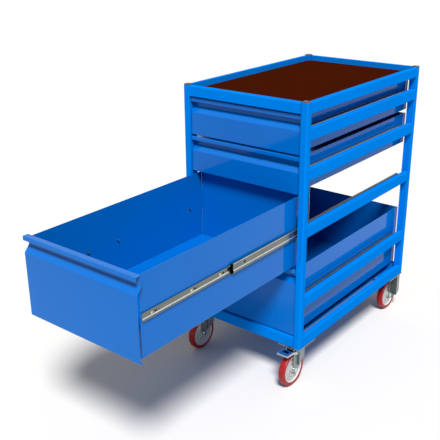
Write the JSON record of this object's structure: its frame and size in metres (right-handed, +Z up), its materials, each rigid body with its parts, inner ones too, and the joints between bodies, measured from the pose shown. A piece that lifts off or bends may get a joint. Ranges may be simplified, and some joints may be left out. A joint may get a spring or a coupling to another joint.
{
  "type": "workbench with drawers",
  "caption": "Mobile workshop bench: welded tube frame on casters, recessed dark top panel and full-extension drawers with hooked lips.",
  "frame": {"origin": "on the floor, under the middle of the object's bounding box with drawer 3 open, as it is at rest", "axes": "+Z up; the drawers open towards -Y; +X is the side on the right of someone who faces the drawers"},
  "size_m": [0.49, 1.514, 1],
  "materials": {
    "frame_paint": "glossy bright blue powder coat",
    "drawer_paint": "glossy mid blue powder coat on sheet steel",
    "panel_board": "dark brown film-faced board, satin",
    "zinc_steel": "zinc-plated pressed steel",
    "slide_steel": "bright zinc-plated cold-rolled steel",
    "wheel_tread": "red polyurethane, semi-matt",
    "wheel_hub": "light grey moulded wheel centre",
    "pedal_plastic": "blue moulded plastic",
    "black_plastic": "black moulded plastic",
    "cap_plastic": "dark grey-brown plastic post cap",
    "yellow_zinc": "yellow-passivated screws"
  },
  "bodies": {
    "frame": {"post_front_left": "frame_paint", "post_front_right": "frame_paint", "post_rear_left": "frame_paint", "post_rear_right": "frame_paint", "top_rail_front": "frame_paint", "top_rail_rear": "frame_paint", "top_rail_left": "frame_paint", "top_rail_right": "frame_paint", "bottom_rail_front": "frame_paint", "bottom_rail_rear": "frame_paint", "bottom_rail_left": "frame_paint", "bottom_rail_right": "frame_paint", "side_rail_1_left": "frame_paint", "side_rail_1_right": "frame_paint", "side_rail_2_left": "frame_paint", "side_rail_2_right": "frame_paint", "side_rail_3_left": "frame_paint", "side_rail_3_right": "frame_paint", "side_rail_4_left": "frame_paint", "side_rail_4_right": "frame_paint", "top_panel": "panel_board", "base_pan": "frame_paint", "slide_1_left_outer": "slide_steel", "slide_1_right_outer": "slide_steel", "slide_2_left_outer": "slide_steel", "slide_2_right_outer": "slide_steel", "slide_3_left_outer": "slide_steel", "slide_3_right_outer": "slide_steel", "slide_4_left_outer": "slide_steel", "slide_4_right_outer": "slide_steel", "caster_plate_front_left": "zinc_steel", "caster_plate_front_right": "zinc_steel", "caster_fork_rear_left": "zinc_steel", "caster_fork_rear_right": "zinc_steel"},
    "drawer_1": {"drawer_1_tray": "drawer_paint", "drawer_1_front": "drawer_paint"},
    "drawer_2": {"drawer_2_tray": "drawer_paint", "drawer_2_front": "drawer_paint"},
    "drawer_3": {"drawer_3_tray": "drawer_paint", "drawer_3_front": "drawer_paint"},
    "drawer_4": {"drawer_4_tray": "drawer_paint", "drawer_4_front": "drawer_paint"},
    "slide_middles_1": {"slide_1_left_middle": "slide_steel", "slide_1_right_middle": "slide_steel"},
    "slide_middles_2": {"slide_2_left_middle": "slide_steel", "slide_2_right_middle": "slide_steel"},
    "slide_middles_3": {"slide_3_left_middle": "slide_steel", "slide_3_right_middle": "slide_steel"},
    "slide_middles_4": {"slide_4_left_middle": "slide_steel", "slide_4_right_middle": "slide_steel"},
    "swivel_left": {"caster_fork_front_left": "zinc_steel"},
    "swivel_right": {"caster_fork_front_right": "zinc_steel"},
    "wheel_front_left": {"caster_wheel_front_left": "wheel_tread"},
    "wheel_front_right": {"caster_wheel_front_right": "wheel_tread"},
    "wheel_rear_left": {"caster_wheel_rear_left": "wheel_tread"},
    "wheel_rear_right": {"caster_wheel_rear_right": "wheel_tread"},
    "pedal_left": {"brake_pedal_front_left": "pedal_plastic"},
    "pedal_right": {"brake_pedal_front_right": "pedal_plastic"}
  },
  "joints": [
    {"name": "drawer_1_slide", "type": "slide", "parent": "frame", "child": "drawer_1", "axis": [0, -1, 0], "range_m": [0, 0.725]},
    {"name": "drawer_2_slide", "type": "slide", "parent": "frame", "child": "drawer_2", "axis": [0, -1, 0], "range_m": [0, 0.725]},
    {"name": "drawer_3_slide", "type": "slide", "parent": "frame", "child": "drawer_3", "axis": [0, -1, 0], "range_m": [-0.725, 0]},
    {"name": "drawer_4_slide", "type": "slide", "parent": "frame", "child": "drawer_4", "axis": [0, -1, 0], "range_m": [0, 0.725]},
    {"name": "slide_middles_1_slide", "type": "slide", "parent": "frame", "child": "slide_middles_1", "axis": [0, -1, 0], "range_m": [0, 0.3625]},
    {"name": "slide_middles_2_slide", "type": "slide", "parent": "frame", "child": "slide_middles_2", "axis": [0, -1, 0], "range_m": [0, 0.3625]},
    {"name": "slide_middles_3_slide", "type": "slide", "parent": "frame", "child": "slide_middles_3", "axis": [0, -1, 0], "range_m": [-0.3625, 0]},
    {"name": "slide_middles_4_slide", "type": "slide", "parent": "frame", "child": "slide_middles_4", "axis": [0, -1, 0], "range_m": [0, 0.3625]},
    {"name": "caster_swivel_left", "type": "hinge", "parent": "frame", "child": "swivel_left", "pos_m": [-0.2025, 0.0108, 0.144], "axis": [0, 0, 1], "continuous": true},
    {"name": "wheel_front_left_spin", "type": "hinge", "parent": "swivel_left", "child": "wheel_front_left", "pos_m": [-0.2025, -0.0212, 0.0625], "axis": [1, 0, 0], "continuous": true},
    {"name": "wheel_rear_left_spin", "type": "hinge", "parent": "frame", "child": "wheel_rear_left", "pos_m": [-0.2025, 0.6943, 0.0625], "axis": [1, 0, 0], "continuous": true},
    {"name": "brake_pedal_left_press", "type": "hinge", "parent": "swivel_left", "child": "pedal_left", "pos_m": [-0.2025, -0.0147, 0.128], "axis": [1, 0, 0], "range_deg": [0, 12]},
    {"name": "caster_swivel_right", "type": "hinge", "parent": "frame", "child": "swivel_right", "pos_m": [0.2025, 0.0108, 0.144], "axis": [0, 0, 1], "continuous": true},
    {"name": "wheel_front_right_spin", "type": "hinge", "parent": "swivel_right", "child": "wheel_front_right", "pos_m": [0.2025, -0.0212, 0.0625], "axis": [1, 0, 0], "continuous": true},
    {"name": "wheel_rear_right_spin", "type": "hinge", "parent": "frame", "child": "wheel_rear_right", "pos_m": [0.2025, 0.6943, 0.0625], "axis": [1, 0, 0], "continuous": true},
    {"name": "brake_pedal_right_press", "type": "hinge", "parent": "swivel_right", "child": "pedal_right", "pos_m": [0.2025, -0.0147, 0.128], "axis": [1, 0, 0], "range_deg": [0, 12]}
  ],
  "couplings": [
    {"joint": "slide_middles_1_slide", "follows": "drawer_1_slide", "ratio": 0.5},
    {"joint": "slide_middles_2_slide", "follows": "drawer_2_slide", "ratio": 0.5},
    {"joint": "slide_middles_3_slide", "follows": "drawer_3_slide", "ratio": 0.5},
    {"joint": "slide_middles_4_slide", "follows": "drawer_4_slide", "ratio": 0.5}
  ]
}
